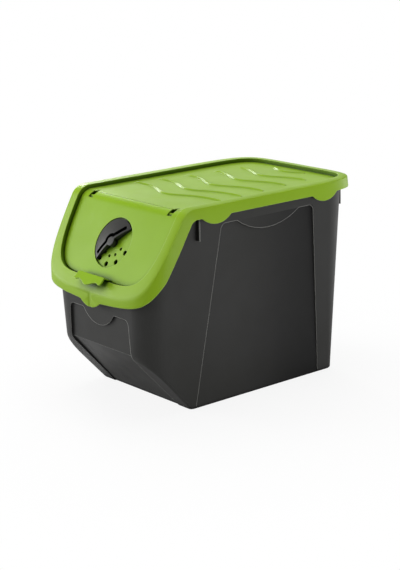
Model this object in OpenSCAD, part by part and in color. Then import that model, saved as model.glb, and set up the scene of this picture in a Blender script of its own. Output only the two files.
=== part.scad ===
// Potato storage bin: a tapered body, a lid with a sloping front, a hinged hatch
// in the slope and a turning shutter over the air holes of the hatch.
// Millimetres. X is the width, the front faces -Y, and the base stands on Z = 0.

/* [Lid] */
// Width of the lid along its top edge
lid_w = 253.6; // [244:0.2:262]
// Distance from the middle of the lid to its front face
lid_front = 199.3; // [192:0.1:206]
// Distance from the middle of the lid to its rear edge
lid_rear = 198.3; // [192:0.1:206]
// Squareness of the lid's outline, where 2 is an ellipse
lid_squareness = 6.6; // [5:0.1:9]
// Wall thickness of the lid
lid_wall = 2.3; // [1.8:0.1:2.8]
// Distance from the middle to where the top begins to slope
top_front = 112.5; // [107:0.5:118]
// Steepness of the front slope
slope_angle = 59.25; // [56:0.25:62]
// Radius of the shoulder between top and slope
shoulder_r = 25.5; // [23:0.5:28]
// Depth of the skirt below the flat top
skirt_h = 15.1; // [12:0.1:18]
// Depth of the skirt below the slope, square to it
slope_skirt = 16.4; // [14:0.1:18]
// Distance down the slope to where the skirt's lower edge turns shallower
skirt_turn_v = 94.5; // [88:0.5:100]
// Height of the skirt's front face
front_skirt = 12; // [9:0.5:15]
// How far the skirt leans out for each millimetre down
skirt_draft = 0.066; // [0.03:0.002:0.08]
// Rounding of the lid's outer edge
edge_round = 1.8; // [1:0.1:2.5]

/* [Lid tongues] */
// Width of each tongue below the side skirt
side_tongue_w = 50; // [40:1:56]
// How far a side tongue hangs below the skirt
side_tongue_drop = 10; // [6:0.5:12]
// Position of the tongue beside the shoulder
front_tongue_y = -77; // [-82:1:-72]
// Position of the tongue near the rear
rear_tongue_y = 123; // [115:1:130]
// Width of the tongue on the front face
nose_tongue_w = 44; // [36:1:52]
// How far the front tongue hangs below the skirt
nose_tongue_drop = 8; // [5:0.5:10]
// Radius of the upright dent in the middle of the front face
dent_r = 8; // [6:0.5:10]
// Depth of that dent
dent_depth = 1.1; // [0.6:0.1:1.3]

/* [Top panel] */
// Half width of the recess that holds the panel and the hatch
recess_half_w = 111; // [108:0.5:113]
// Distance from the middle to the rear edge of the recess
recess_rear = 187.5; // [184:0.5:189]
// Length of the recess from the middle to the front, along the surface
recess_front = 238.6; // [234:0.1:241]
// Depth of the recess below the rim
recess_depth = 5.6; // [5:0.1:6.5]
// Thickness of the panel
panel_t = 2.2; // [1.8:0.1:2.6]
// Height of the wavy ribs on the panel
wave_h = 1.7; // [1:0.1:2.4]
// Width of the wavy ribs
wave_w = 5.2; // [4:0.2:6.4]
// Half length of the rib that is cut short by the rear rim
last_wave_half = 35; // [28:1:42]
// How far each wave dips towards the front
wave_dip = 21; // [15:1:26]
// Half width of the dip of a wave
wave_spread = 37; // [30:1:44]

/* [Hatch] */
// Thickness of the hatch
flap_t = 2.2; // [1.8:0.1:2.4]
// Gap between the hatch and the recess around it
flap_gap = 1.6; // [1.2:0.1:2]
// Width of the ledge that the hatch closes on
ledge_w = 6; // [4.5:0.5:8]
// Gap between the closed hatch and its ledge
ledge_gap = 0.3; // [0.2:0.05:0.5]
// Radius of the hinge pins
pin_r = 2; // [1.8:0.05:2.1]
// Clearance of the hinge pins in their hooks
pin_clear = 0.05; // [0.03:0.01:0.1]
// Distance from the middle of the lid to each hinge hook
hinge_x = 89; // [84:0.5:92]
// Width of the slot in the hatch for each hook
slot_w = 9.5; // [9:0.1:10.5]
// Width of each hook
hook_w = 5.6; // [5:0.1:7]
// Radius at which the hatch turns inside the edge of the panel
turn_r = 7.75; // [7.6:0.05:8]
// Gap between the hatch and the edge of the panel
seam_gap = 0.4; // [0.3:0.05:0.5]

/* [Finger tab] */
// Half width of the tab where it leaves the hatch
tab_half_w = 29; // [25:0.5:33]
// Height of the tab's root above the hatch
tab_rise = 14.4; // [12:0.2:16]
// Length of the tab at its tips
tab_len = 8.6; // [7:0.2:11]
// Extra length of the tab's middle lobe
tab_lobe = 7; // [4:0.2:8]
// How much the tab rises over its length
tab_lift = 0.28; // [0.15:0.01:0.35]

/* [Vent] */
// Radius of the round cup in the hatch
vent_r = 36.5; // [33:0.5:38]
// Distance of the vent's centre down the slope
vent_v = 65.2; // [62:0.2:67]
// Depth of the cup
vent_depth = 2.5; // [2:0.1:3]
// Thickness of the cup's floor and wall
vent_wall = 2; // [1.6:0.1:2.4]
// Diameter of the inner air holes
small_hole_d = 4; // [3:0.1:5]
// Diameter of the outer air holes
large_hole_d = 6.6; // [5:0.1:8]
// Radius of the ring of inner holes
small_ring_r = 18.8; // [17.5:0.1:20]
// Radius of the ring of outer holes
large_ring_r = 30.8; // [28.5:0.1:31]
// Gap round and under the shutter
shutter_gap = 0.4; // [0.3:0.05:0.6]
// Thickness of the shutter at its edge
shutter_edge = 1.8; // [1.4:0.1:2.2]
// How much the shutter's dome rises at the middle
shutter_dome = 4.6; // [3.5:0.1:5.5]
// Direction of the shutter's straight edge
shutter_angle = 47; // [30:1:60]
// Distance of the straight edge past the pivot
shutter_past = 3; // [2:0.2:4]
// Radius of the shutter's hub
hub_r = 8.4; // [7.5:0.1:9]
// Radius of the shutter's pivot pin
pivot_r = 3; // [2.6:0.1:3.4]
// Clearance of the pivot pin
pivot_clear = 0.06; // [0.04:0.01:0.1]
// Width of the finger groove
groove_w = 4.4; // [3:0.2:5]
// Distance from the pivot to the middle of the finger groove
groove_at = 4; // [3.6:0.1:5]

/* [Body] */
// Half width of the base
base_half_w = 102.6; // [100:0.2:104]
// How much each side leans out up to the rim
side_lean = 15.9; // [14:0.1:16]
// Distance from the middle to the base's front edge
base_front = 109; // [104:1:114]
// Distance from the middle to the base's rear edge
base_rear = 161; // [156:1:164]
// How much the rear wall leans out up to the rim
rear_lean = 32.1; // [30:0.1:32.6]
// Height of the knee in the front wall
knee_h = 84.4; // [78:0.2:92]
// Distance from the middle to the knee
knee_front = 184.5; // [180:0.5:186]
// How much the front wall leans out above the knee, per millimetre
front_lean = 0.0246; // [0.01:0.001:0.025]
// Wall thickness of the body
body_wall = 2.3; // [1.8:0.1:2.5]
// Thickness of the floor
floor_t = 2.5; // [2:0.1:4]
// Radius of the upright corners beside the front
front_corner = 38; // [32:1:42]
// Radius of the rear corners at the base
base_corner = 11; // [9:0.5:14]
// Radius of the rear corners at the full height
rim_corner = 54; // [44:0.5:56]
// Rounding of the edges around the lower front slope
slope_round = 4.5; // [3:0.5:7]
// Rounding of the base's edge
base_round = 1.6; // [1:0.1:2.5]
// Overall height with the lid on
bin_h = 286; // [280:1:292]

/* [Body details] */
// Depth of every panel at the base
low_recess = 1.2; // [0.8:0.1:1.6]
// Depth of the side panels at their top
side_recess = 3; // [2:0.1:3.4]
// Depth of the front panel above the knee
front_recess = 3.2; // [2:0.1:3.5]
// Depth of the rear panel at its top
rear_recess = 3; // [2:0.1:3.4]
// Top of the side and rear panels
side_panel_top = 256; // [248:1:258]
// Width of the thumb lug on each side
side_lug_w = 114; // [100:1:124]
// How far the side lug hangs down
side_lug_drop = 18.5; // [14:0.5:24]
// Top of the front panel
front_panel_top = 136; // [130:1:142]
// Width of the thumb lug on the front
front_lug_w = 70; // [60:1:84]
// How far the front lug hangs down
front_lug_drop = 20; // [14:0.5:24]
// Thickness of the rim flange
flange_t = 2.2; // [1.8:0.1:3]
// Gap between the flange and the lid's skirt
flange_gap = 0.6; // [0.4:0.05:1]
// Gap between the flange and the underside of the lid
seat_gap = 0.25; // [0.2:0.05:0.4]
// Thickness of the stiffening fins
fin_t = 2; // [1.6:0.1:3]
// Height of the fins' lower ends
fin_z = 240; // [234:1:250]
// Position of the side fins
side_fin_y = -104; // [-108:0.2:-100]
// Distance from the middle to each rear fin
rear_fin_x = 87; // [80:1:92]

/* [Hidden] */
eps = 0.01;
big = 700;
side_steps = 48;
dark_grey = "#3a3a38";
lid_green = "#acd05c";
flap_green = "#a0c850";
shutter_grey = "#58585a";

// The slope's own frame: X across, U up the slope and N out of it. Its origin is
// the sharp corner that the top and the slope would share without the shoulder.
slope_begin = shoulder_r * tan(slope_angle / 2);
corner_y = -top_front - slope_begin;
up_y = cos(slope_angle);
up_z = sin(slope_angle);

// Length along the surface from the middle of the lid to the slope's origin
arc_len = (shoulder_r - recess_depth) * slope_angle * PI / 180;
surface_zero = top_front + arc_len - slope_begin;

// Depths below the rim surface, all measured square to it
panel_under = recess_depth + panel_t;
flap_under = recess_depth + flap_t;
ledge_top = flap_under + ledge_gap;
pan_under = ledge_top + panel_t;
seat_depth = lid_wall + seat_gap;

// Hinge axis, below the surface of the hatch and in front of the seam
hinge_y = -top_front - 9.5;
hinge_z = bin_h - recess_depth - 6.6;
cheek_t = 2.5;
cheek_back = 0.3;
cheek_r = 3.4;
hook_r = 3.4;
slot_end = 3.4;
open_angle = 152;

// Where the front face of the lid ends, above and below
crease_z = bin_h - (lid_front + corner_y) * tan(slope_angle);
nose_z = crease_z - front_skirt;

// The tab's farthest reach sets the middle of the whole depth
tab_v = recess_front - surface_zero - flap_gap;
tab_end_v = tab_v + tab_len + tab_lobe;
tab_root_o = tab_rise - recess_depth;
tab_end_o = tab_root_o + tab_lift * (tab_len + tab_lobe);
front_reach = -corner_y + tab_end_v * up_y + tab_end_o * up_z;
draft_run = 30;
rear_reach = lid_rear + skirt_draft * draft_run * (skirt_h - edge_round) / (draft_run - edge_round);
centre_y = (front_reach - rear_reach) / 2;

// The rows of the wavy ribs, by the place of their ends
wave_rows = [-41, -4, 41, 89, 133, 177];
wave_steps = 26;
wave_end = 7;

function sgn_pow(v, e) = sign(v) * pow(abs(v), e);

// Closed superellipse with its own front and rear half
function superellipse(a, front, rear, n, steps = 2 * side_steps) = [
    for (i = [0 : steps - 1]) let (t = 360 * i / steps)
        [a * sgn_pow(cos(t), 2 / n), (sin(t) < 0 ? front : rear) * sgn_pow(sin(t), 2 / n)]
];

// Half of a superellipse, from one side over the far end to the other side
function half_superellipse(a, b, n) = [
    for (i = [0 : side_steps]) let (t = 180 * i / side_steps)
        [a * sgn_pow(cos(t), 2 / n), b * sgn_pow(sin(t), 2 / n)]
];

// Points of the rim surface lowered by a depth, from the rear to below the front
function rim_line(depth) = concat(
    [[big, bin_h - depth], [-top_front, bin_h - depth]],
    [for (i = [1 : 12]) let (t = slope_angle * i / 12)
        [-top_front - (shoulder_r - depth) * sin(t),
         bin_h - shoulder_r + (shoulder_r - depth) * cos(t)]],
    [on_slope(250, -depth)]
);

// Point on the slope, by the way down it and the height above it
function on_slope(v, o) = [corner_y - v * up_y - o * up_z, bin_h - v * up_z + o * up_y];

// Corner points [x, y, radius] turned into an outline with round corners
function rounded(corners) = [
    for (i = [0 : len(corners) - 1])
        let (
            n = len(corners),
            p = [corners[i][0], corners[i][1]],
            a = [corners[(i + n - 1) % n][0], corners[(i + n - 1) % n][1]] - p,
            b = [corners[(i + 1) % n][0], corners[(i + 1) % n][1]] - p,
            ua = a / norm(a), ub = b / norm(b),
            half = acos(max(-1, min(1, ua * ub))) / 2,
            r = corners[i][2],
            steps = r > 0 ? 8 : 0,
            middle = p + (ua + ub) / max(norm(ua + ub), eps) * r / sin(half),
            first = p + ua * r / tan(half), last = p + ub * r / tan(half)
        )
        for (k = [0 : steps])
            r == 0 ? p :
            let (w = k / steps,
                 start = atan2(first[1] - middle[1], first[0] - middle[0]),
                 turn = atan2(last[1] - middle[1], last[0] - middle[0]) - start,
                 sweep = turn > 180 ? turn - 360 : turn < -180 ? turn + 360 : turn)
            middle + r * [cos(start + w * sweep), sin(start + w * sweep)]
];

// Arc that hangs from a level line, between two ends and by a given drop
function hanging_arc(middle, width, drop, level, steps = 10) =
    let (r = (width * width / 4 + drop * drop) / (2 * drop), a = asin(width / 2 / r))
    [for (i = [0 : steps]) let (t = -a + 2 * a * i / steps)
        [middle + r * sin(t), level + r - drop - r * cos(t)]];

// A corner list entry for each point of an arc, with round ends
function arc_corners(points, end_r) = [
    for (i = [0 : len(points) - 1])
        [points[i][0], points[i][1], i == 0 || i == len(points) - 1 ? end_r : 0]
];

// Extrudes an outline in Y and Z along X, both ways from the middle
module across(points, width = big) {
    rotate([90, 0, 90]) linear_extrude(height = width, center = true) polygon(points);
}

// Extrudes an outline in X and Z along Y, from one place to another
module along(points, from, to) {
    translate([0, to, 0]) rotate([90, 0, 0]) linear_extrude(height = to - from) polygon(points);
}

// Places its children in the frame of the slope
module on_the_slope() {
    translate([0, corner_y, bin_h]) rotate([slope_angle, 0, 0]) children();
}

// Everything below the rim surface lowered by a depth
module below_surface(depth) {
    across(concat(rim_line(depth), [[-big, -20], [big, -20]]));
}

// Everything above the rim surface lowered by a depth
module above_surface(depth) {
    across(concat(rim_line(depth), [[-big, big], [big, big]]));
}

// The lid's outline as an upright prism, drawn in by an inset
module lid_prism(inset) {
    linear_extrude(height = bin_h + 20)
        polygon(superellipse(lid_w / 2 - inset, lid_front - inset, lid_rear - inset,
            lid_squareness));
}

// One of the forms whose hull rounds the lid's edge and leans its skirt
module lid_layer(inset, front_inset, depth) {
    intersection() {
        linear_extrude(height = bin_h + 20)
            polygon(superellipse(lid_w / 2 - inset, lid_front - front_inset,
                lid_rear - inset, lid_squareness));
        below_surface(depth);
        translate([-big / 2, -big / 2, 100]) cube(big);
    }
}

// The outer form of the lid, a solid without its skirt's lower edge
module lid_form(inset, depth, soft) {
    hull() {
        lid_layer(inset + soft, inset + soft, depth);
        lid_layer(inset + soft * 0.3, inset + soft * 0.3, depth + soft * 0.3);
        lid_layer(inset, inset, depth + soft);
        lid_layer(inset - skirt_draft * draft_run, inset, depth + draft_run);
    }
}

// The side outline of the lid above the skirt's lower edge and tongues
module skirt_region() {
    skirt_z = bin_h - skirt_h;
    turn = on_slope(skirt_turn_v, -slope_skirt);
    high = [corner_y - (bin_h - skirt_z - slope_skirt * up_y) / tan(slope_angle)
        + slope_skirt * up_z, skirt_z];
    across(rounded(concat(
        [[-big, big, 0], [-big, nose_z, 0], [-lid_front, nose_z, 0]],
        [[turn[0], turn[1], 40], [high[0], high[1], 12]],
        arc_corners(hanging_arc(front_tongue_y, side_tongue_w, side_tongue_drop, skirt_z), 5),
        arc_corners(hanging_arc(rear_tongue_y, side_tongue_w, side_tongue_drop, skirt_z), 5),
        [[big, skirt_z, 0], [big, big, 0]]
    )));
    along(concat(hanging_arc(0, nose_tongue_w, nose_tongue_drop, nose_z),
        [[nose_tongue_w / 2, nose_z + 5], [-nose_tongue_w / 2, nose_z + 5]]),
        -lid_front - 20, -lid_front + 14);
}

// Outline of the recess over the flat top, drawn in or out
function rear_outline(grow) = concat(
    half_superellipse(recess_half_w + grow, recess_rear + grow, 8),
    [for (s = [-60, -100, -top_front - 5]) [-recess_side(-s, grow), s]],
    [for (s = [-top_front - 5, -100, -60]) [recess_side(-s, grow), s]]
);

// Half width of the recess at a distance from the middle towards the front
function recess_side(s, grow) =
    (recess_half_w + grow) * pow(1 - pow(s / (recess_front + grow), 6), 1 / 6);

// Outline of the recess over the slope, in the slope's frame
function slope_outline(grow) = [
    for (p = half_superellipse(recess_half_w + grow, recess_front + grow, 6))
        [-p[0], surface_zero - p[1]]
];

// The recess as a prism that follows the top and the slope
module recess_prism(grow) {
    translate([0, 0, bin_h - 60]) linear_extrude(height = 100) polygon(rear_outline(grow));
    slope_prism(grow);
}

module slope_prism(grow) {
    on_the_slope() translate([0, 0, -45]) linear_extrude(height = 100)
        polygon(slope_outline(grow));
}

// A bar along the hinge axis
module hinge_bar(r, width) {
    translate([0, hinge_y, hinge_z]) rotate([0, 90, 0])
        cylinder(r = r, h = width, center = true, $fn = 64);
}

// The zone of the hatch: in front of the hinge axis, or within its turning circle
module hatch_zone(r) {
    translate([-big / 2, hinge_y - big, 0]) cube([big, big, big]);
    hinge_bar(r, big);
}

// The profile of a wavy rib, upright in front and sloping at the back
wave_profile = [
    [-wave_w / 2, -1], [-wave_w / 2 + 0.2, 0.55 * wave_h], [-wave_w / 2 + 0.7, 0.9 * wave_h],
    [-wave_w / 2 + 1.5, wave_h], [0, 0.92 * wave_h], [wave_w / 2 - 0.9, 0.3 * wave_h],
    [wave_w / 2, -1]
];

// One wavy rib on the panel, low at both ends
module wave(row) {
    last = wave_rows[len(wave_rows) - 1];
    half = row == last ? last_wave_half : 88.5 - 0.075 * row;
    n = len(wave_profile);
    points = [for (i = [0 : wave_steps]) let (
        x = -half + 2 * half * i / wave_steps,
        low = min(1, 0.25 + (half - abs(x)) / wave_end),
        y = row - wave_dip * exp(-pow(x / wave_spread, 2))
    ) for (p = wave_profile) [x, y + p[0], p[1] < 0 ? p[1] : p[1] * low]];
    sides = [for (i = [0 : wave_steps - 1]) for (k = [0 : n - 1]) let (
        a = i * n + k, b = i * n + (k + 1) % n
    ) each [[a, b, b + n], [a, b + n, a + n]]];
    translate([0, 0, bin_h - recess_depth]) polyhedron(
        points = points,
        faces = concat(sides, [[for (k = [n - 1 : -1 : 0]) k]],
            [[for (k = [0 : n - 1]) wave_steps * n + k]])
    );
}

// A hook under the panel that holds one hinge pin
module hook(x) {
    translate([x, 0, 0]) difference() {
        union() {
            translate([0, hinge_y, hinge_z]) rotate([0, 90, 0])
                cylinder(r = hook_r, h = hook_w, center = true, $fn = 48);
            across([
                [-top_front + 6, bin_h - recess_depth - 1], [-top_front + 6, hinge_z - 1],
                [-top_front, hinge_z - 6], [hinge_y + 1.5, hinge_z - 3.2],
                [hinge_y + 2.8, hinge_z - 1], [hinge_y + 7.6, hinge_z - 0.4],
                [hinge_y + 7.6, bin_h - recess_depth - 1.2]
            ], hook_w);
        }
        translate([0, hinge_y, hinge_z]) {
            rotate([0, 90, 0]) cylinder(r = pin_r + pin_clear, h = 20, center = true, $fn = 48);
            // The mouth opens upwards and forwards, and leaves the hook past a half circle
            across([[0, 0], 8 * [cos(30), sin(30)], [0, 12], [-12, 0]], 20);
        }
    }
}

// A notch in the edge of the panel over each hook
module hook_notch(x) {
    translate([x, 0, bin_h - 20]) linear_extrude(height = 40)
        polygon([[-2.5, hinge_y], [2.5, hinge_y], [2.5, -top_front - 3], [0, -top_front + 5],
            [-2.5, -top_front - 3]]);
}

module lid() {
    translate([0, centre_y, 0]) color(lid_green) {
        difference() {
            union() {
                difference() {
                    intersection() {
                        lid_form(0, 0, edge_round);
                        skirt_region();
                    }
                    lid_form(lid_wall, lid_wall, edge_round / 2);
                }
                intersection() {
                    recess_prism(panel_t);
                    union() {
                        above_surface(panel_under);
                        intersection() {
                            above_surface(pan_under);
                            hatch_zone(turn_r + seam_gap + panel_t);
                        }
                    }
                    below_surface(0.5);
                    lid_form(0.5, 0, edge_round);
                }
            }
            intersection() {
                recess_prism(0);
                above_surface(recess_depth);
            }
            intersection() {
                slope_prism(0);
                above_surface(ledge_top);
                hatch_zone(turn_r + seam_gap);
            }
            intersection() {
                slope_prism(-ledge_w);
                hatch_zone(turn_r + seam_gap);
            }
            for (side = [-1, 1]) hook_notch(side * hinge_x);
            hinge_bar(turn_r + seam_gap, 2 * (recess_half_w - flap_gap + 1));
            // The dent over the front tongue
            translate([0, -lid_front - dent_r + dent_depth, nose_z - nose_tongue_drop - 5])
                cylinder(r = dent_r, h = front_skirt + nose_tongue_drop + 12, $fn = 48);
        }
        for (row = wave_rows) wave(row);
        for (side = [-1, 1]) hook(side * hinge_x);
    }
}

// Outline of the finger tab in the slope's frame
function tab_outline() = concat(
    [[tab_half_w, -tab_v + flap_t], [tab_half_w + 0.6, -tab_v - tab_len + 2]],
    [for (i = [0 : 28]) let (x = tab_half_w * (1 - i / 14))
        [x, -tab_v - tab_len - tab_lobe * exp(-pow(x / 11.5, 2))
            - 2.4 * exp(-pow((abs(x) - 27) / 4.5, 2))]],
    [[-tab_half_w - 0.6, -tab_v - tab_len + 2], [-tab_half_w, -tab_v + flap_t]]
);

// The lip that rises from the lower edge of the hatch, and the tab along it
module finger_tab() {
    far = tab_len + tab_lobe + 4;
    on_the_slope() intersection() {
        translate([0, 0, -20]) linear_extrude(height = 60) polygon(tab_outline());
        rotate([90, 0, 90]) linear_extrude(height = 80, center = true) polygon(rounded([
            [-tab_v, -recess_depth - 1.2, 0], [-tab_v, tab_root_o - flap_t, 1],
            [-tab_v - far, tab_root_o - flap_t + tab_lift * far, 0],
            [-tab_v - far, tab_root_o + tab_lift * far, 0],
            [-tab_v + flap_t * 0.7, tab_root_o, 2], [-tab_v + flap_t, -recess_depth, 0],
            [-tab_v + 6, -recess_depth - 0.5, 0], [-tab_v + 6, -recess_depth - 1.2, 0]
        ]));
    }
}

// Places its children on the vent's axis, with Z = 0 on the surface of the hatch
module at_vent() {
    on_the_slope() translate([0, -vent_v, -recess_depth]) children();
}

module air_holes(ring, d) {
    for (a = [-162 : 36 : -18]) rotate([0, 0, a]) translate([ring, 0, -20])
        cylinder(d = d, h = 40, $fn = 32);
}

module front_flap() {
    translate([0, centre_y, 0]) color(flap_green) {
        difference() {
            union() {
                intersection() {
                    slope_prism(-flap_gap);
                    above_surface(flap_under);
                    below_surface(recess_depth);
                    hatch_zone(turn_r);
                }
                at_vent() translate([0, 0, -vent_depth - vent_wall])
                    cylinder(r = vent_r + vent_wall, h = vent_depth + vent_wall - 1, $fn = 96);
                finger_tab();
            }
            at_vent() {
                translate([0, 0, -vent_depth]) cylinder(r = vent_r, h = 20, $fn = 96);
                air_holes(small_ring_r, small_hole_d);
                air_holes(large_ring_r, large_hole_d);
                translate([0, 0, -20]) cylinder(r = pivot_r + pivot_clear, h = 40, $fn = 48);
            }
            for (side = [-1, 1]) translate([side * hinge_x, 0, 0]) hook_slot();
        }
        for (side = [-1, 1]) translate([side * hinge_x, 0, 0]) {
            hinge_bar(pin_r, slot_w + cheek_t);
            for (end = [-1, 1])
                translate([end * ((slot_w + cheek_t) / 2 + cheek_back), 0, 0])
                    hinge_bar(cheek_r, cheek_t);
        }
    }
}

// The slot for a hook, from the seam to just past the hinge pin
module hook_slot() {
    foot_v = (corner_y - hinge_y) * up_y + (bin_h - hinge_z) * up_z;
    on_the_slope() translate([-slot_w / 2, -foot_v - slot_end, -40]) cube([slot_w, 60, 80]);
}

// The finger groove beside the shutter's straight edge, bent round its hub
module finger_groove() {
    for (side = [-1, 1]) {
        translate([side * (hub_r + 10.5), groove_at, 0])
            cube([19, groove_w, 40], center = true);
        translate([side * (hub_r + 20), groove_at, 0])
            cylinder(d = groove_w, h = 40, center = true, $fn = 32);
    }
    intersection() {
        difference() {
            cylinder(r = hub_r + groove_w, h = 40, center = true, $fn = 64);
            cylinder(r = hub_r, h = 50, center = true, $fn = 64);
        }
        translate([-20, groove_at - groove_w / 2, -20]) cube([40, 20, 40]);
    }
}

module vent_shutter() {
    bottom = -vent_depth + shutter_gap / 2;
    edge_top = bottom + shutter_edge;
    r = vent_r - 1.5 * shutter_gap;
    dome_r = (r * r + shutter_dome * shutter_dome) / (2 * shutter_dome);
    dome_a = asin(r / dome_r);
    under_cup = -vent_depth - vent_wall;
    translate([0, centre_y, 0]) color(shutter_grey) at_vent() rotate([0, 0, shutter_angle]) {
        difference() {
            intersection() {
                rotate_extrude($fn = 96) polygon(concat(
                    [[0, bottom], [r, bottom]],
                    [for (i = [10 : -1 : 0]) let (t = dome_a * i / 10)
                        [dome_r * sin(t), edge_top + shutter_dome - dome_r * (1 - cos(t))]]
                ));
                union() {
                    translate([-50, -shutter_past, -20]) cube([100, 60, 60]);
                    cylinder(r = hub_r, h = 40, center = true, $fn = 64);
                }
            }
            translate([0, 0, bottom + 1 + 20]) finger_groove();
        }
        // Pivot pin with the snap head that holds it under the cup
        translate([0, 0, under_cup - 1.5]) cylinder(r = pivot_r, h = 1.5 - under_cup + bottom + 0.5,
            $fn = 48);
        translate([0, 0, under_cup - 1.5])
            cylinder(r1 = pivot_r - 0.4, r2 = pivot_r + 0.8, h = 1.2, $fn = 48);
    }
}

// The body's walls at a height: half width, rear and front, and the slope of the front
function half_w_at(z) = base_half_w + side_lean * z / bin_h;
function rear_at(z) = base_rear + rear_lean * z / bin_h;
function front_at(z) = knee_front + front_lean * (z - knee_h);
function slope_at(z) = base_front + (knee_front - base_front) * z / knee_h;
fin_reach = 12;
slope_inset = norm([knee_front - base_front, knee_h]) / knee_h;
knee_rise = (slope_inset - 1) * knee_h / (knee_front - base_front);
below_base = -5;
rim_z = bin_h + 4;

// A thin rounded rectangle at a height, drawn in by an inset
module body_ring(z, inset) {
    rear_r = max(base_corner + (rim_corner - base_corner) * z / bin_h - inset, 2);
    front_r = max(front_corner - inset, 2);
    for (sx = [-1, 1]) {
        translate([sx * (half_w_at(z) - inset - rear_r), rear_at(z) - inset - rear_r, z])
            cylinder(r = rear_r, h = eps, $fn = 64);
        translate([sx * (half_w_at(z) - inset - front_r), -front_at(z) + inset + front_r, z])
            cylinder(r = front_r, h = eps, $fn = 64);
    }
}

// Everything behind the slope of the lower front, drawn in by an inset
module behind_slope(inset) {
    across([[-slope_at(below_base) + inset * slope_inset, below_base],
        [-slope_at(rim_z + 1) + inset * slope_inset, rim_z + 1],
        [big, rim_z + 1], [big, below_base]]);
}

// The body's form up to above the rim, from a floor height, drawn in by one inset at
// its walls and by another at the slope
module body_form(inset, slope_in, low) {
    intersection() {
        hull() {
            body_ring(low, inset + base_round);
            body_ring(low + base_round, inset);
            body_ring(rim_z, inset);
        }
        behind_slope(slope_in);
    }
}

// The outer form, with round edges between the slope and the walls
module outer_form() {
    hull() for (t = [0 : 22.5 : 90])
        body_form(slope_round * (1 - sin(t)), slope_round * (1 - cos(t)), 0);
}

// Outline of a tapered panel with a lug that hangs from its top edge
function panel_outline(low_a, low_b, top_a, top_b, top_z, lug_at, lug_w, lug_drop, grow) = rounded(
    concat(
        [[low_a - grow, 2 * below_base, 0], [low_b + grow, 2 * below_base, 0],
            [top_b + grow, top_z + grow, 8]],
        arc_corners([for (p = hanging_arc(-lug_at, lug_w - 2 * grow, lug_drop, top_z + grow))
            [-p[0], p[1]]], 4),
        [[top_a - grow, top_z + grow, 8]]
    ));

// The hollow of each panel, and with a depth added also what backs it inside
module side_panel(side, back) {
    floor_x = half_w_at(side_panel_top) - side_recess - back;
    mirror([side < 0 ? 1 : 0, 0, 0]) intersection() {
        across(panel_outline(-103, 130, -60, 108, side_panel_top, 24, side_lug_w, side_lug_drop,
            back));
        along([[base_half_w - low_recess - back, below_base], [floor_x, side_panel_top],
            [floor_x + 1, side_panel_top + 24], [big, side_panel_top + 24], [big, below_base]],
            -big / 2, big / 2);
    }
}

module front_panel(back) {
    front_top = front_panel_top + 34;
    intersection() {
        along(panel_outline(-74.5, 74.5, -66.5, 66.5, front_panel_top, 0, front_lug_w,
            front_lug_drop, back), -big / 2, 0);
        across([[-big, below_base],
            [-slope_at(below_base) + (low_recess + back) * slope_inset, below_base],
            [-knee_front + front_recess + back, knee_h + knee_rise * (front_recess + back)],
            [-front_at(front_top) + front_recess + back, front_top], [-big, front_top]]);
    }
}

module rear_panel(back) {
    floor_y = rear_at(side_panel_top) - rear_recess - back;
    intersection() {
        along(panel_outline(-78, 78, -64, 64, side_panel_top - 10, 0, front_lug_w,
            side_lug_drop, back), 0, big / 2);
        across([[base_rear - low_recess - back, below_base], [floor_y, side_panel_top],
            [floor_y + 1.5, side_panel_top + 24], [big, side_panel_top + 24],
            [big, below_base]]);
    }
}

module all_panels(back) {
    for (side = [-1, 1]) side_panel(side, back);
    front_panel(back);
    rear_panel(back);
}

// A stiffening fin under the flange, on a side wall and on the rear wall
module side_fin(side) {
    mirror([side < 0 ? 1 : 0, 0, 0]) translate([half_w_at(fin_z) - 1, side_fin_y - fin_t / 2, fin_z])
        cube([fin_reach, fin_t, bin_h - fin_z]);
}

module rear_fin(x) {
    translate([x - fin_t / 2, rear_at(fin_z) - 1, fin_z])
        cube([fin_t, fin_reach, bin_h - fin_z]);
}

module bin_body() {
    flange_inset = lid_wall + flange_gap;
    translate([0, centre_y, 0]) color(dark_grey) difference() {
        union() {
            intersection() {
                outer_form();
                below_surface(seat_depth);
            }
            intersection() {
                lid_prism(flange_inset);
                below_surface(seat_depth);
                union() {
                    above_surface(seat_depth + flange_t);
                    for (side = [-1, 1]) side_fin(side);
                    for (side = [-1, 1]) rear_fin(side * rear_fin_x);
                }
            }
        }
        all_panels(0);
        difference() {
            body_form(body_wall, body_wall, floor_t);
            all_panels(body_wall);
        }
        // Room for the pan of the lid, which drops inside the rim
        intersection() {
            recess_prism(panel_t + 0.5);
            above_surface(pan_under + 0.5);
        }
    }
}

bin_body();
lid();
front_flap();
vent_shutter();
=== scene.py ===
"""Dresses the potato storage bin: moulded finishes, soft edges, daylight studio and camera."""

import logging
import math
from dataclasses import dataclass
from enum import Enum
from typing import Any, Optional, Sequence

import bmesh
import bpy
from mathutils import Matrix, Vector

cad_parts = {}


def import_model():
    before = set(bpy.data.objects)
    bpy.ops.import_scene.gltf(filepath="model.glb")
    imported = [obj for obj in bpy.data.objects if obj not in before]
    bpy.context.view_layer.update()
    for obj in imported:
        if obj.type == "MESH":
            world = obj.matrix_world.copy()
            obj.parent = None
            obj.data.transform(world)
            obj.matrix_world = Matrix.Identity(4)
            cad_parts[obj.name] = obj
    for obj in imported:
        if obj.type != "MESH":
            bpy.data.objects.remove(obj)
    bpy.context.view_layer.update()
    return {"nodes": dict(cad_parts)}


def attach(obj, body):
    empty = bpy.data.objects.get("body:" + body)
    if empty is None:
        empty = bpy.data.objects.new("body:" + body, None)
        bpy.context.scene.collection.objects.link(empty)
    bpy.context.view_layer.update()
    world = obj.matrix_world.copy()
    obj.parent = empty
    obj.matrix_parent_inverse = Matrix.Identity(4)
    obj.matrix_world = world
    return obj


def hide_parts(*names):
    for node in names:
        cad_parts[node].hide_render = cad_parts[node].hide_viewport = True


LOG = logging.getLogger("potato_bin")
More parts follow.
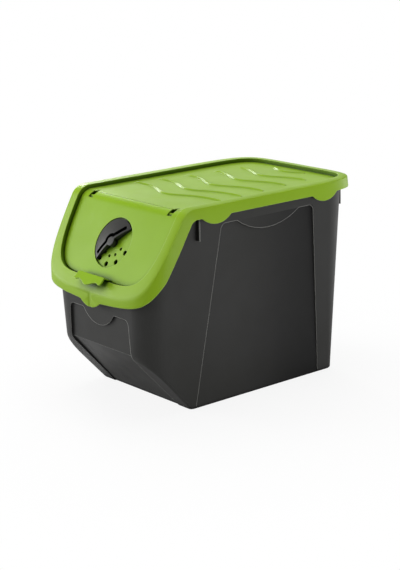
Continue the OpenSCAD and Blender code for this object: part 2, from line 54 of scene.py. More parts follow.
MM = 0.001
# Top of the side panels, and how far back their rear crease lies at the floor and at the top,
# in metres
PANEL_TOP = 0.256
PANEL_REAR = (0.1338, 0.1118)
# Where the painted shade on a side panel begins, darker towards that crease, in metres
PANEL_SHADE_FROM = -0.05
# A face whose normal has more than this share sideways belongs to a side
SIDEWAYS = 0.9
# Angle of the sloping front in degrees, and the middle of the vent on it in millimetres
SLOPE = 59.25
VENT_CENTRE = (0.0, -151.72, 227.103)
# Points of a copied mesh that lie closer than this are one point, in millimetres
MERGE = 0.01
# How many rays find the soft edges and the hollows
SHADE_SAMPLES = 8

Point = tuple[float, float, float]


class Grain(Enum):
    """How the mould's steel was finished: depth and spacing of the grain in millimetres."""

    POLISHED = (0.010, 2.6)
    SATIN = (0.020, 1.6)
    EROSION = (0.035, 1.1)


def linear(hex_colour: str) -> tuple[float, float, float, float]:
    """Turns an sRGB hex colour into a linear one.

    Args:
        hex_colour: Six hex digits with a leading hash.

    Returns:
        Linear red, green, blue and an alpha of one.
    """
    channels = [int(hex_colour[i:i + 2], 16) / 255 for i in (1, 3, 5)]
    red, green, blue = [c / 12.92 if c <= 0.04045 else ((c + 0.055) / 1.055) ** 2.4
                        for c in channels]
    return red, green, blue, 1.0


def add_node(tree: bpy.types.NodeTree, kind: str, settings: Optional[dict[Any, Any]] = None,
             **links: Any) -> bpy.types.Node:
    """Adds a node with its settings and what feeds it.

    Args:
        tree: The node tree to add to.
        kind: The node's type name without its ShaderNode prefix.
        settings: Properties of the node and, under a number or an input's name, input values.
        **links: Output sockets that feed the inputs, named by input with spaces as underscores,
            or by number as i0, i1 and so on.

    Returns:
        The new node.
    """
    node = tree.nodes.new("ShaderNode" + kind)
    for name, value in (settings or {}).items():
        if isinstance(name, int) or name in node.inputs:
            node.inputs[name].default_value = value
        else:
            setattr(node, name, value)
    for name, socket in links.items():
        key = int(name[1:]) if name[0] == "i" and name[1:].isdigit() else name.replace("_", " ")
        tree.links.new(socket, node.inputs[key])
    return node


@dataclass(frozen=True)
class MouldedPolypropylene:
    """Injection-moulded polypropylene: a waxy satin skin with faint flow clouds and fine grain.

    The eye reads it by a soft, wide highlight, by outer edges that catch the light as thin
    lines and by inner corners that stay dark. Here the light edges are painted highlights and
    the dark corners painted shade, both mixed into the colour.
    """

    name: str
    colour: str
    cloud: str
    # Painted highlight colour on open edges
    edge: str
    # Painted shade colour in hollows, inner corners and gaps
    hollow_shade: str
    grain: Grain
    roughness: float
    # How wide the light edges are, in millimetres, and how strong their painted highlight is
    edge_radius: float
    edge_highlight_share: float
    # How strong the painted shade in hollows is, and how far it reaches, in millimetres
    hollow_shade_share: float
    hollow_shade_reach: float
    specular: float
    # The painted shade at a side panel's rear crease, for the part that has such panels
    panel_shade: str = ""

    @staticmethod
    def panel_shade_share(tree: bpy.types.NodeTree, place: Any, normal: Any) -> Any:
        """Finds how strong the painted shade on a side panel is, from its front to its rear
        crease.

        Args:
            tree: The material's node tree.
            place: The socket with the object's own coordinates.
            normal: The socket with the face's normal.

        Returns:
            The socket with the share, which is nothing off the two side panels.
        """
        at = add_node(tree, "SeparateXYZ", i0=place).outputs
        facing = add_node(tree, "SeparateXYZ", i0=normal).outputs
        sideways = add_node(tree, "Math", {"operation": "ABSOLUTE"}, i0=facing["X"])
        is_side = add_node(tree, "Math", {"operation": "GREATER_THAN", 1: SIDEWAYS},
                           i0=sideways.outputs[0])
        crease = add_node(tree, "MapRange", {"From Min": 0.0, "From Max": PANEL_TOP,
                                             "To Min": PANEL_REAR[0], "To Max": PANEL_REAR[1]},
                          Value=at["Z"])
        before = add_node(tree, "Math", {"operation": "LESS_THAN"}, i0=at["Y"],
                          i1=crease.outputs[0])
        below = add_node(tree, "Math", {"operation": "LESS_THAN", 1: PANEL_TOP}, i0=at["Z"])
        growth = add_node(tree, "MapRange", {"interpolation_type": "SMOOTHSTEP",
                                             "From Min": PANEL_SHADE_FROM}, Value=at["Y"],
                          From_Max=crease.outputs[0])
        share = growth.outputs[0]
        for gate in (is_side, before, below):
            share = add_node(tree, "Math", {"operation": "MULTIPLY"}, i0=share,
                             i1=gate.outputs[0]).outputs[0]
        return share

    def skin(self, tree: bpy.types.NodeTree, place: Any) -> Any:
        """Mixes the skin's colour with its flow clouds.

        Args:
            tree: The material's node tree.
            place: The socket with the object's own coordinates.

        Returns:
            The colour's socket.
        """
        # Flow clouds are some 90 mm across, as where the melt cools unevenly
        clouds = add_node(tree, "TexNoise", {"Scale": 11.0, "Detail": 3.0, "Roughness": 0.55},
                          Vector=place)
        share = add_node(tree, "MapRange", {"From Min": 0.35, "From Max": 0.65},
                         Value=clouds.outputs[0])
        mixed = add_node(tree, "Mix", {"data_type": "RGBA", 6: linear(self.colour),
                                       7: linear(self.cloud)}, i0=share.outputs[0])
        return mixed.outputs[2]

    def shaded(self, tree: bpy.types.NodeTree, place: Any, skin: Any, soft: Any) -> Any:
        """Mixes painted shade into hollows and a panel's rear, and painted highlights on edges.

        Args:
            tree: The material's node tree.
            place: The socket with the object's own coordinates.
            skin: The socket with the skin's colour.
            soft: The socket with the normal that is rounded at edges.

        Returns:
            The colour's socket.
        """
        # Painted highlight: open edges are painted lighter, where the round of each edge is
        # compared with the flat of its faces
        flat = add_node(tree, "NewGeometry").outputs["Normal"]
        likeness = add_node(tree, "VectorMath", {"operation": "DOT_PRODUCT"}, i0=soft, i1=flat)
        edge_highlight_mask = add_node(tree, "MapRange", {"From Min": 0.997, "From Max": 0.90,
                                                "To Max": self.edge_highlight_share},
                             Value=likeness.outputs["Value"])
        openness = add_node(tree, "AmbientOcclusion", {"samples": SHADE_SAMPLES,
                                                       "Distance": self.hollow_shade_reach * MM})
        is_open = add_node(tree, "MapRange", {"From Min": 0.72, "From Max": 0.95},
                           Value=openness.outputs["AO"])
        edge_highlight_share = add_node(tree, "Math", {"operation": "MULTIPLY"},
                              i0=edge_highlight_mask.outputs[0], i1=is_open.outputs[0])
        # Painted shade: the skin is painted towards the hollow colour where faces close it in
        hollow_shade_amount = add_node(tree, "MapRange", {"From Min": 0.96, "From Max": 0.5,
                                                "To Max": self.hollow_shade_share},
                             Value=openness.outputs["AO"])
        under = add_node(tree, "Mix", {"data_type": "RGBA", 7: linear(self.hollow_shade)},
                         i0=hollow_shade_amount.outputs[0], i6=skin).outputs[2]
        # Painted shade: the side panels are painted darker towards their rear crease
        if self.panel_shade:
            under = add_node(tree, "Mix", {"data_type": "RGBA", 7: linear(self.panel_shade)},
                             i0=self.panel_shade_share(tree, place, flat), i6=under).outputs[2]
        # Painted highlight: the edge colour is mixed in on open edges
        return add_node(tree, "Mix", {"data_type": "RGBA", 7: linear(self.edge)},
                        i0=edge_highlight_share.outputs[0], i6=under).outputs[2]

    def build(self) -> bpy.types.Material:
        """Builds the material's nodes.

        Returns:
            The finished material.
        """
        material = bpy.data.materials.new(self.name)
        material.use_nodes = True
        tree = material.node_tree
        tree.nodes.clear()
        place = add_node(tree, "TexCoord").outputs["Object"]
        skin = self.skin(tree, place)
        soft = add_node(tree, "Bevel", {"samples": SHADE_SAMPLES,
                                        "Radius": self.edge_radius * MM}).outputs[0]
        colour = self.shaded(tree, place, skin, soft)
        depth, spacing = self.grain.value
        grain = add_node(tree, "TexNoise", {"Scale": 1.0 / (spacing * MM), "Detail": 2.0,
                                            "Roughness": 0.5}, Vector=place)
        bump = add_node(tree, "Bump", {"Strength": 0.35, "Distance": depth * MM * 4},
                        Height=grain.outputs[0], Normal=soft)
        # Handling and flow change the sheen in patches some 30 mm across
        patches = add_node(tree, "TexNoise", {"Scale": 34.0, "Detail": 4.0}, Vector=place)
        sheen = add_node(tree, "MapRange", {"From Min": 0.3, "From Max": 0.7,
                                            "To Min": self.roughness - 0.03,
                                            "To Max": self.roughness + 0.04},
                         Value=patches.outputs[0])
        shader = add_node(tree, "BsdfPrincipled", {"IOR": 1.49, "Metallic": 0.0,
                                                   "Specular IOR Level": self.specular},
                          Base_Color=colour, Roughness=sheen.outputs[0],
                          Normal=bump.outputs[0])
        add_node(tree, "OutputMaterial", Surface=shader.outputs[0])
        return material


# In each finish the edge colour is a painted highlight and the hollow colour painted shade; the
# body's side panels also get painted shade towards their rear crease
BODY_GREY = MouldedPolypropylene(
    name="body polypropylene, dark grey", colour="#363635", cloud="#323230", edge="#949490",
    hollow_shade="#0C0C0C", grain=Grain.EROSION, roughness=0.50, edge_radius=1.9, edge_highlight_share=1.0,
    hollow_shade_share=0.7, hollow_shade_reach=7.0, specular=0.18, panel_shade="#121212")
LID_GREEN = MouldedPolypropylene(
    name="lid polypropylene, light green", colour="#93BA22", cloud="#8EB41C", edge="#C4E27C",
    hollow_shade="#2E4C00", grain=Grain.SATIN, roughness=0.42, edge_radius=1.2, edge_highlight_share=0.5,
    hollow_shade_share=0.92, hollow_shade_reach=18.0, specular=0.2)
RIB_GREEN = MouldedPolypropylene(
    name="ribs, light green", colour="#93BA22", cloud="#8EB41C", edge="#D8EE9E",
    hollow_shade="#3E6400", grain=Grain.POLISHED, roughness=0.30, edge_radius=0.6, edge_highlight_share=0.5,
    hollow_shade_share=0.9, hollow_shade_reach=2.6, specular=1.0)
FLAP_GREEN = MouldedPolypropylene(
    name="hatch polypropylene, light green", colour="#8FB820", cloud="#8AB21A", edge="#C4E27C",
    hollow_shade="#2E4C00", grain=Grain.SATIN, roughness=0.42, edge_radius=1.0, edge_highlight_share=0.5,
    hollow_shade_share=0.85, hollow_shade_reach=10.0, specular=0.2)
SHUTTER_GREY = MouldedPolypropylene(
    name="shutter polypropylene, grey", colour="#3D3D3B", cloud="#393937", edge="#7E7E7C",
    hollow_shade="#040404", grain=Grain.POLISHED, roughness=0.42, edge_radius=0.6, edge_highlight_share=0.15,
    hollow_shade_share=1.0, hollow_shade_reach=8.0, specular=0.2)


def slope_axes() -> tuple[Vector, Vector, Vector]:
    """Gives the directions across, up and out of the sloping front.

    Returns:
        The three directions.
    """
    turn = math.radians(SLOPE)
    return (Vector((1, 0, 0)), Vector((0, math.cos(turn), math.sin(turn))),
            Vector((0, -math.sin(turn), math.cos(turn))))


def add_piece(name: str, mesh: bpy.types.Mesh, finishes: Sequence[MouldedPolypropylene],
              smooth_angle: float) -> bpy.types.Object:
    """Puts a mesh into the scene as a piece with its finishes.

    Args:
        name: The piece's name.
        mesh: Its mesh, in the bin's own frame.
        finishes: The materials for its slots.
        smooth_angle: Edges that bend by less than this many degrees are shaded smooth.

    Returns:
        The piece.
    """
    piece = bpy.data.objects.new(name, mesh)
    bpy.context.scene.collection.objects.link(piece)
    mesh.materials.clear()
    for finish in finishes:
        mesh.materials.append(finish.build())
    bpy.ops.object.select_all(action="DESELECT")
    piece.select_set(True)
    bpy.context.view_layer.objects.active = piece
    bpy.ops.object.shade_smooth_by_angle(angle=math.radians(smooth_angle))
    return piece


def open_copy(solid: bpy.types.Object) -> tuple[bpy.types.Mesh, bmesh.types.BMesh]:
    """Copies a solid's mesh, merges its loose triangles and opens it for editing.

    Args:
        solid: The solid.

    Returns:
        The copy, and the open mesh with its points.
    """
    mesh = solid.data.copy()
    bm = bmesh.new()
    bm.from_mesh(mesh)
    bmesh.ops.remove_doubles(bm, verts=bm.verts, dist=MERGE * MM)
    return mesh, bm


def close_copy(mesh: bpy.types.Mesh, bm: bmesh.types.BMesh) -> None:
    """Writes an edited copy back and drops the normals that the solid came with.

    Args:
        mesh: The copy.
        bm: The open mesh.
    """
    bm.to_mesh(mesh)
    bm.free()
    if "custom_normal" in mesh.attributes:
        mesh.attributes.remove(mesh.attributes["custom_normal"])


@dataclass
class LidShell:
    """The lid with a squarer nose and taller ribs than its solid. Sizes are in millimetres."""

    half_w: float = 126.8
    front: float = 199.3
    centre_y: float = 3.804
    roundness: float = 6.6
    squareness: float = 8.4
    bow: float = 7.0
    height: float = 286.0
    shoulder: float = 25.5
    top_front: float = 112.5
    # The outline's share at which the frame begins, and over which its move grows to the full
    frame_from: float = 0.955
    frame_blend: float = 0.022
    # How often the outline is worked out anew, because its bow depends on the place across
    outline_rounds: int = 6
    # The panel's surface and its extent, and how high the solid's own ribs stand on it
    panel_z: float = 280.4
    panel_half: float = 100.0
    panel_span: tuple[float, float] = (-80.0, 186.0)
    solid_ribs: tuple[float, float] = (0.02, 1.9)
    rib_rows: tuple[float, ...] = (-41.0, -1.5, 44.0, 93.0, 137.5, 181.0)
    rib_half: float = 90.8
    rib_taper: float = 0.137
    last_rib_half: float = 33.5
    rib_dip: float = 21.0
    rib_spread: float = 37.0
    rib_steps: int = 40
    # A rib rises from this share of its height to the full over this length at each end
    rib_end_share: float = 0.25
    rib_end: float = 7.0
    rib_profile: tuple[tuple[float, float], ...] = (
        (-2.9, -0.8), (-2.4, 0.0), (-1.5, 0.9), (-0.6, 1.75), (0.1, 2.05), (0.9, 1.8),
        (2.9, -0.8))
    smooth_angle: float = 28.0

    def rim(self, y: float) -> float:
        """Gives the height of the rim over flat top, shoulder and slope.

        Args:
            y: The place along the lid from its own middle.

        Returns:
            The height.
        """
        ahead = -self.top_front - y
        turn = math.radians(SLOPE)
        reach = self.shoulder * math.sin(turn)
        if ahead <= 0:
            return self.height
        if ahead <= reach:
            return self.height - self.shoulder + math.sqrt(self.shoulder ** 2 - ahead ** 2)
        return (self.height - self.shoulder * (1 - math.cos(turn))
                - (ahead - reach) * math.tan(turn))

    def squared(self, x: float, y: float, z: float) -> Point:
        """Moves a point of the skirt and the nose's frame out to the squarer outline.

        Args:
            x: Across the lid.
            y: Along it, from its own middle.
            z: The height.

        Returns:
            The moved point, which keeps its depth below the rim.
        """
        if y >= 0:
            return x, y, z
        n = self.roundness
        share = (abs(x / self.half_w) ** n + abs(y / self.front) ** n) ** (1 / n)
        weight = min(max((share - self.frame_from) / self.frame_blend, 0.0), 1.0)
        if weight == 0:
            return x, y, z
        square = 1.0
        for _ in range(self.outline_rounds):
            reach = self.front - self.bow * (x / (self.half_w * square)) ** 2
            square = (abs(x / self.half_w) ** self.squareness
                      + abs(y / reach) ** self.squareness) ** (1 / self.squareness)
        grow = 1 + (share / square - 1) * weight
        return x * grow, y * grow, z + self.rim(y * grow) - self.rim(y)

    def add_rib(self, bm: bmesh.types.BMesh, row: float, half: float) -> None:
        """Lays one wavy rib on the panel, low at both ends.

        Args:
            bm: The lid's mesh.
            row: The place of its ends along the lid.
            half: Half its length.
        """
        rings = []
        for i in range(self.rib_steps + 1):
            x = half * (2 * i / self.rib_steps - 1)
            low = min(1.0, self.rib_end_share + (half - abs(x)) / self.rib_end)
            y = row + self.centre_y - self.rib_dip * math.exp(-(x / self.rib_spread) ** 2)
            rings.append([bm.verts.new((x * MM, (y + across) * MM,
                                        (self.panel_z + (up * low if up > 0 else up)) * MM))
                          for across, up in self.rib_profile])
        count = len(self.rib_profile)
        faces = [bm.faces.new(list(reversed(rings[0]))), bm.faces.new(rings[-1])]
        for one, two in zip(rings, rings[1:]):
            faces += [bm.faces.new((one[k], one[(k + 1) % count], two[(k + 1) % count], two[k]))
                      for k in range(count)]
        for face in faces:
            face.material_index = 1
        bmesh.ops.recalc_face_normals(bm, faces=faces)

    def reshape(self, bm: bmesh.types.BMesh) -> None:
        """Lays the solid's own ribs flat and squares the nose.

        Args:
            bm: The lid's mesh.
        """
        rear, ahead = max(self.panel_span), min(self.panel_span)
        low, high = (self.panel_z + rise for rise in self.solid_ribs)
        for vert in bm.verts:
            x, y, z = (v / MM for v in vert.co)
            y -= self.centre_y
            if abs(x) < self.panel_half and ahead < y < rear and low < z < high:
                z = self.panel_z
            x, y, z = self.squared(x, y, z)
            vert.co = (x * MM, (y + self.centre_y) * MM, z * MM)

    def build(self, solid: bpy.types.Object) -> bpy.types.Object:
        """Copies the solid, squares its nose and gives it its ribs.

        Args:
            solid: The lid's solid.

        Returns:
            The lid, which stands for the solid.
        """
        mesh, bm = open_copy(solid)
        for face in bm.faces:
            face.material_index = 0
        self.reshape(bm)
        bmesh.ops.dissolve_degenerate(bm, edges=bm.edges, dist=MERGE * MM)
        for row in self.rib_rows[:-1]:
            self.add_rib(bm, row, self.rib_half - self.rib_taper * row)
        self.add_rib(bm, self.rib_rows[-1], self.last_rib_half)
        close_copy(mesh, bm)
        shell = add_piece("lid_shell", mesh, (LID_GREEN, RIB_GREEN), self.smooth_angle)
        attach(shell, "cover")
        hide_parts("lid")
        return shell


@dataclass
class VentShutter:
    """The domed half-disc over the air holes, with its hub, wings and finger groove.

    Sizes are in millimetres and angles in degrees. Heights are above the slope's surface.
    """

    turn: float = 48.0
    radius: float = 34.8
    base: float = -2.3
    edge: float = 2.6
    dome: float = 5.6
    dome_steps: int = 12
    hub: float = 6.4
    wing_turn: float = 4.0
    past: float = 0.4
    groove_w: float = 5.4
    groove_at: float = 5.4
    groove_reach: float = 27.0
    web: float = 1.0
    pin: float = 3.0
    pin_end: float = -6.0
    pin_lap: float = 0.5
    # How far the solids that cut reach: sideways, over the disc, past its middle, up and down
    cut_side: float = 50.0
    cut_over: float = 60.0
    cut_lap: float = 3.0
    cut_height: float = 20.0
    # The same for the groove, whose pieces lap each other
    groove_top: float = 30.0
    groove_side: float = 20.0
    groove_lap: float = 0.3
    smooth_angle: float = 25.0

    def solid(self, name: str, rings: Sequence[Sequence[Point]]) -> bpy.types.Object:
        """Makes a closed solid from rings of as many points each.

        Args:
            name: Its name.
            rings: The rings from its lowest to its highest.

        Returns:
            The solid.
        """
        bm = bmesh.new()
        made = [[bm.verts.new(point) for point in ring] for ring in rings]
        bm.faces.new(list(reversed(made[0])))
        bm.faces.new(made[-1])
        for low, high in zip(made, made[1:]):
            for k in range(len(low)):
                j = (k + 1) % len(low)
                bm.faces.new((low[k], low[j], high[j], high[k]))
        bmesh.ops.recalc_face_normals(bm, faces=bm.faces)
        mesh = bpy.data.meshes.new(name)
        bm.to_mesh(mesh)
        bm.free()
        made_object = bpy.data.objects.new(name, mesh)
        bpy.context.scene.collection.objects.link(made_object)
        return made_object

    def disc(self, name: str, rims: Sequence[tuple[float, float]],
             steps: int) -> bpy.types.Object:
        """Turns a profile round the pivot.

        Args:
            name: The solid's name.
            rims: Radius and height of each ring.
            steps: Points in a ring.

        Returns:
            The solid.
        """
        angles = [2 * math.pi * i / steps for i in range(steps)]
        return self.solid(name, [[(r * math.cos(t), r * math.sin(t), z) for t in angles]
                                 for r, z in rims])

    def slab(self, name: str, box: tuple[float, float, float, float], turned: float,
             low: float, high: float) -> bpy.types.Object:
        """Makes an upright slab, turned about the pivot.

        Args:
            name: The solid's name.
            box: Its lowest and highest place along and across the straight edge.
            turned: The turn in degrees.
            low: Its lowest height.
            high: Its highest height.

        Returns:
            The solid.
        """
        x0, y0, x1, y1 = box
        c, s = math.cos(math.radians(turned)), math.sin(math.radians(turned))
        ring = [(x * c - y * s, x * s + y * c)
                for x, y in ((x0, y0), (x1, y0), (x1, y1), (x0, y1))]
        return self.solid(name, [[(x, y, z) for x, y in ring] for z in (low, high)])

    def combine(self, base: bpy.types.Object, tool: bpy.types.Object, how: str) -> None:
        """Joins, cuts or crosses one solid with another, which is used up.

        Args:
            base: The solid that changes.
            tool: The solid that it meets.
            how: UNION, DIFFERENCE or INTERSECT.
        """
        step = base.modifiers.new(how, "BOOLEAN")
        step.operation = how
        step.solver = "EXACT"
        step.object = tool
        bpy.context.view_layer.objects.active = base
        bpy.ops.object.modifier_apply(modifier=step.name)
        bpy.data.objects.remove(tool)

    def half_disc(self) -> bpy.types.Object:
        """Makes the domed disc and cuts it down to its half with hub and wings.

        Returns:
            The half-disc, flat and round its pivot.
        """
        crown = (self.radius ** 2 + self.dome ** 2) / (2 * self.dome)
        tilt = math.asin(self.radius / crown)
        rims = [(self.radius, self.base)]
        for i in range(self.dome_steps, 0, -1):
            t = tilt * i / self.dome_steps
            rims.append((crown * math.sin(t),
                         self.base + self.edge + self.dome - crown * (1 - math.cos(t))))
        body = self.disc("shutter_half", rims, steps=96)
        # The solids that cut differ in height by a step, so none of their ends share a plane
        step = 1.0
        tall, taller, tallest = (self.cut_height + step * k for k in range(3))
        keep = self.slab("keep", (-self.cut_side, -self.past, self.cut_lap, self.cut_over),
                         self.wing_turn, -tall, tall)
        wing = self.slab("wing", (-self.cut_lap, -self.past, self.cut_side, self.cut_over),
                         -self.wing_turn, -taller, taller)
        self.combine(keep, wing, "UNION")
        hub = self.disc("hub", [(self.hub, -tallest), (self.hub, tallest)], steps=64)
        self.combine(keep, hub, "UNION")
        self.combine(body, keep, "INTERSECT")
        return body

    def cut_groove(self, body: bpy.types.Object) -> None:
        """Cuts the finger groove: an arc round the hub and an arm with a round end each side.

        Args:
            body: The half-disc.
        """
        floor = self.base + self.web
        low, high = self.groove_at - self.groove_w / 2, self.groove_at + self.groove_w / 2
        outer = self.hub + self.groove_w
        upper_past, core_past = 3.0, 5.0
        ring = self.disc("ring", [(outer, floor), (outer, self.groove_top)], steps=64)
        core = self.disc("core", [(self.hub, floor - core_past),
                                  (self.hub, self.groove_top + core_past)], steps=64)
        self.combine(ring, core, "DIFFERENCE")
        upper = self.slab("upper", (-self.groove_side, low, self.groove_side, self.groove_side),
                          0, floor - upper_past, self.groove_top + upper_past)
        self.combine(ring, upper, "INTERSECT")
        self.combine(body, ring, "DIFFERENCE")
        end_r = self.groove_w / 2 + self.groove_lap
        for side in (-1, 1):
            span = sorted((side * (self.hub - self.groove_lap), side * self.groove_reach))
            slot = self.slab("slot", (span[0], low, span[1], high), -side * self.wing_turn,
                             floor, self.groove_top)
            self.combine(body, slot, "DIFFERENCE")
            turned = math.radians(-side * self.wing_turn)
            end = self.disc("end", [(end_r, floor), (end_r, self.groove_top)], steps=32)
            x, y = side * self.groove_reach, self.groove_at
            end.data.transform(Matrix.Translation((x * math.cos(turned) - y * math.sin(turned),
                                                   x * math.sin(turned) + y * math.cos(turned),
                                                   0)))
            self.combine(body, end, "DIFFERENCE")

    def build(self) -> bpy.types.Object:
        """Builds the shutter and lays it into its cup on the slope.

        Returns:
            The shutter, which stands for its solid.
        """
        body = self.half_disc()
        self.cut_groove(body)
        pin = self.disc("pin", [(self.pin, self.pin_end), (self.pin, self.base + self.pin_lap)],
                        steps=48)
        self.combine(body, pin, "UNION")
        across, up, out = slope_axes()
        b = math.radians(self.turn)
        turn = Matrix((math.cos(b) * across + math.sin(b) * up,
                       math.cos(b) * up - math.sin(b) * across, out)).transposed().to_4x4()
        body.data.transform(Matrix.Scale(MM, 4) @ Matrix.Translation(VENT_CENTRE) @ turn)
        mesh = body.data
        bpy.data.objects.remove(body)
        shutter = add_piece("shutter_shell", mesh, (SHUTTER_GREY,), self.smooth_angle)
        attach(shutter, "shutter")
        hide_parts("vent_shutter")
        return shutter


@dataclass
class FlapShell:
    """The hatch with wider air holes than its solid. Sizes are in millimetres."""

    # The rings of holes: the ring's radius and the solid's hole radius
    holes: tuple[tuple[float, float], ...] = ((18.8, 2.0), (30.8, 3.3))
    angles: tuple[int, ...] = (-162, -126, -90, -54, -18)
    widen: float = 0.4
    # A point this close to a hole's circle lies on the hole's wall
    wall_near: float = 0.12
    cup_top: float = -2.4
    smooth_angle: float = 28.0

    def build(self, solid: bpy.types.Object) -> bpy.types.Object:
        """Copies the solid and widens its air holes.

        Args:
            solid: The hatch's solid.

        Returns:
            The hatch, which stands for the solid.
        """
        across, up, out = slope_axes()
        middles = [(ring * math.cos(math.radians(a)), ring * math.sin(math.radians(a)), r)
                   for ring, r in self.holes for a in self.angles]
        mesh, bm = open_copy(solid)
        for vert in bm.verts:
            place = vert.co / MM - Vector(VENT_CENTRE)
            u, v, w = place.dot(across), place.dot(up), place.dot(out)
            if w > self.cup_top:
                continue
            for mu, mv, r in middles:
                away = math.hypot(u - mu, v - mv)
                if abs(away - r) < self.wall_near:
                    step = (across * (u - mu) + up * (v - mv)) * (self.widen / away)
                    vert.co += step * MM
        close_copy(mesh, bm)
        shell = add_piece("flap_shell", mesh, (FLAP_GREEN,), self.smooth_angle)
        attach(shell, "hatch")
        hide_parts("front_flap")
        return shell


@dataclass
class MouldedParts:
    """The moulded parts: the body's solid in its finish, and pieces for the other solids."""

    body_finish: MouldedPolypropylene = BODY_GREY

    def dress(self, nodes: dict[str, bpy.types.Object]) -> None:
        """Gives the body its finish and puts the finer pieces in the other solids' places.

        Args:
            nodes: The solids by name.
        """
        for slot in nodes["bin_body"].material_slots:
            slot.material = self.body_finish.build()
        LOG.info("dressed bin_body with %s", self.body_finish.name)
        for piece in (LidShell().build(nodes["lid"]), FlapShell().build(nodes["front_flap"]),
                      VentShutter().build()):
            LOG.info("built %s, %d faces", piece.name, len(piece.data.polygons))


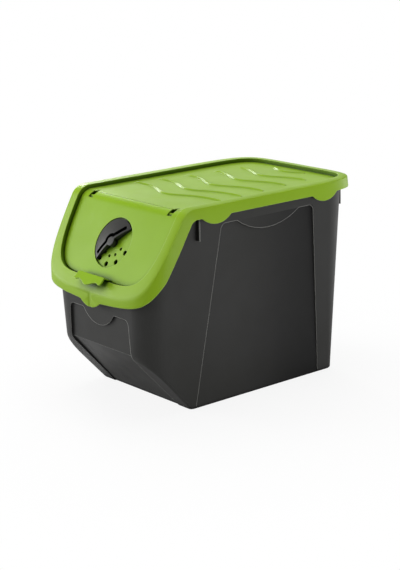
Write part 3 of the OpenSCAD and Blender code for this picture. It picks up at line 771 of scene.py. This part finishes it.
@dataclass
class Studio:
    """A white paper floor, a dim surround and large soft lamps. Sizes are in metres."""

    floor_half: float = 40.0
    paper: str = "#FFFFFF"
    fibre: str = "#FBFBFB"
    bounce: str = "#A8A8A8"
    # How white the paper is beside the bin, in a reflection and to the camera
    near_white: tuple[float, float] = (0.1, 0.88)
    # Between these distances from the bin's middle it turns to plain white
    fade: tuple[float, float] = (0.20, 0.60)
    surround_strength: float = 0.16
    aim: Point = (0.0, 0.0, 0.14)

    def paper_material(self) -> bpy.types.Material:
        """Builds the paper, which shows as plain white from some way off the bin.

        Returns:
            The material.
        """
        material = bpy.data.materials.new("studio floor, white paper")
        material.use_nodes = True
        tree = material.node_tree
        tree.nodes.clear()
        place = add_node(tree, "TexCoord").outputs["Object"]
        fibres = add_node(tree, "TexNoise", {"Scale": 60.0, "Detail": 2.0}, Vector=place)
        tone = add_node(tree, "Mix", {"data_type": "RGBA", 6: linear(self.paper),
                                      7: linear(self.fibre)}, i0=fibres.outputs[0])
        # Seen by the camera or in a reflection, the far floor is white paper without shade
        white = add_node(tree, "Emission", {"Color": (1, 1, 1, 1), "Strength": 1.0})
        distance = add_node(tree, "VectorMath", {"operation": "LENGTH"}, i0=place)
        path = add_node(tree, "LightPath")
        # Beside the bin a reflection shows the paper's shade, and the camera little of it
        near = add_node(tree, "MapRange", {"To Min": self.near_white[0],
                                           "To Max": self.near_white[1]},
                        Value=path.outputs["Is Camera Ray"])
        far = add_node(tree, "MapRange", {"interpolation_type": "SMOOTHSTEP",
                                          "From Min": self.fade[0], "From Max": self.fade[1]},
                       Value=distance.outputs["Value"], To_Min=near.outputs[0])
        seen = path.outputs["Is Camera Ray"]
        for name in ("Is Glossy Ray", "Is Transmission Ray"):
            seen = add_node(tree, "Math", {"operation": "MAXIMUM"}, i0=seen,
                            i1=path.outputs[name]).outputs[0]
        # The paper sends a dimmer light back up to the bin than it shows
        matt_colour = add_node(tree, "Mix", {"data_type": "RGBA", 6: linear(self.bounce)},
                               i0=seen, i7=tone.outputs[2])
        matt = add_node(tree, "BsdfDiffuse", Color=matt_colour.outputs[2])
        share = add_node(tree, "Math", {"operation": "MULTIPLY"}, i0=far.outputs[0], i1=seen)
        mix = add_node(tree, "MixShader", i0=share.outputs[0], i1=matt.outputs[0],
                       i2=white.outputs[0])
        add_node(tree, "OutputMaterial", Surface=mix.outputs[0])
        return material

    def lay_floor(self) -> None:
        """Lays the paper floor."""
        bpy.ops.mesh.primitive_plane_add(size=2 * self.floor_half, location=(0, 0, 0))
        floor = bpy.context.object
        floor.name = "studio_floor"
        floor.data.materials.append(self.paper_material())

    def lamp(self, name: str, place: Point, size: tuple[float, float], watts: float) -> None:
        """Hangs a soft lamp that faces the bin and isn't seen itself.

        Args:
            name: The lamp's name.
            place: Where it hangs.
            size: Its width and height.
            watts: Its power.
        """
        data = bpy.data.lights.new(name, "AREA")
        data.shape = "RECTANGLE"
        data.size, data.size_y = size
        data.energy = watts
        lamp = bpy.data.objects.new(name, data)
        bpy.context.scene.collection.objects.link(lamp)
        lamp.visible_camera = False
        lamp.location = place
        towards = Vector(self.aim) - Vector(place)
        lamp.rotation_euler = towards.to_track_quat("-Z", "Y").to_euler()

    def surround(self) -> None:
        """Makes a dim white surround."""
        world = bpy.data.worlds.new("studio surround")
        bpy.context.scene.world = world
        world.use_nodes = True
        tree = world.node_tree
        tree.nodes.clear()
        light = add_node(tree, "Background", {"Color": (1, 1, 1, 1),
                                              "Strength": self.surround_strength})
        add_node(tree, "OutputWorld", Surface=light.outputs[0])

    def build(self) -> None:
        """Builds floor, surround and lamps."""
        self.lay_floor()
        self.surround()
        self.lamp("overhead softbox", (-0.25, 0.15, 1.8), (1.5, 1.5), watts=20)
        self.lamp("left softbox", (-2.7, -1.8, 0.8), (1.9, 1.4), watts=60)
        self.lamp("front softbox", (0.0, -2.1, 0.9), (0.9, 0.9), watts=8)
        self.lamp("low front light", (-1.2, -1.8, 0.12), (0.9, 0.2), watts=3)
        self.lamp("rear left softbox", (-1.6, 1.3, 0.75), (1.2, 1.2), watts=4)
        # The strip gives the ribs their white highlights
        self.lamp("left strip light", (-1.9, 0.72, 0.8), (0.5, 0.35), watts=11)
        self.lamp("low side light", (1.3, 0.15, 0.13), (0.8, 0.22), watts=6)
        self.lamp("rear softbox", (0.4, 1.9, 0.3), (0.8, 0.5), watts=7)


@dataclass
class PhotoCamera:
    """The camera at the photograph's place. Its place is in metres, its angles in degrees."""

    place: Point = (1.59795, -1.30686, 0.69663)
    azimuth: float = 50.75
    elevation: float = 15.15
    roll: float = -1.52
    # Focal length and sensor width, in millimetres
    lens: float = 93.74
    sensor: float = 36.0
    sight: float = 50.0

    def build(self) -> None:
        """Sets up the camera."""
        a, e, r = (math.radians(v) for v in (self.azimuth, self.elevation, self.roll))
        back = Vector((math.sin(a) * math.cos(e), -math.cos(a) * math.cos(e), math.sin(e)))
        level = (-back).cross(Vector((0, 0, 1))).normalized()
        rise = level.cross(-back)
        right = math.cos(r) * level + math.sin(r) * rise
        up = -math.sin(r) * level + math.cos(r) * rise
        data = bpy.data.cameras.new("photo camera")
        data.lens = self.lens
        data.sensor_width = self.sensor
        data.clip_end = self.sight
        camera = bpy.data.objects.new("photo camera", data)
        bpy.context.scene.collection.objects.link(camera)
        turn = Matrix((right, up, back)).transposed().to_4x4()
        camera.matrix_world = Matrix.Translation(self.place) @ turn
        bpy.context.scene.camera = camera


def main() -> None:
    """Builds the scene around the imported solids."""
    logging.basicConfig(level=logging.INFO, format="%(name)s: %(message)s")
    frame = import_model()
    bpy.ops.object.select_all(action="DESELECT")
    bpy.context.scene.view_settings.view_transform = "Standard"
    PhotoCamera().build()
    MouldedParts().dress(frame["nodes"])
    Studio().build()


if __name__ == "__main__":
    main()
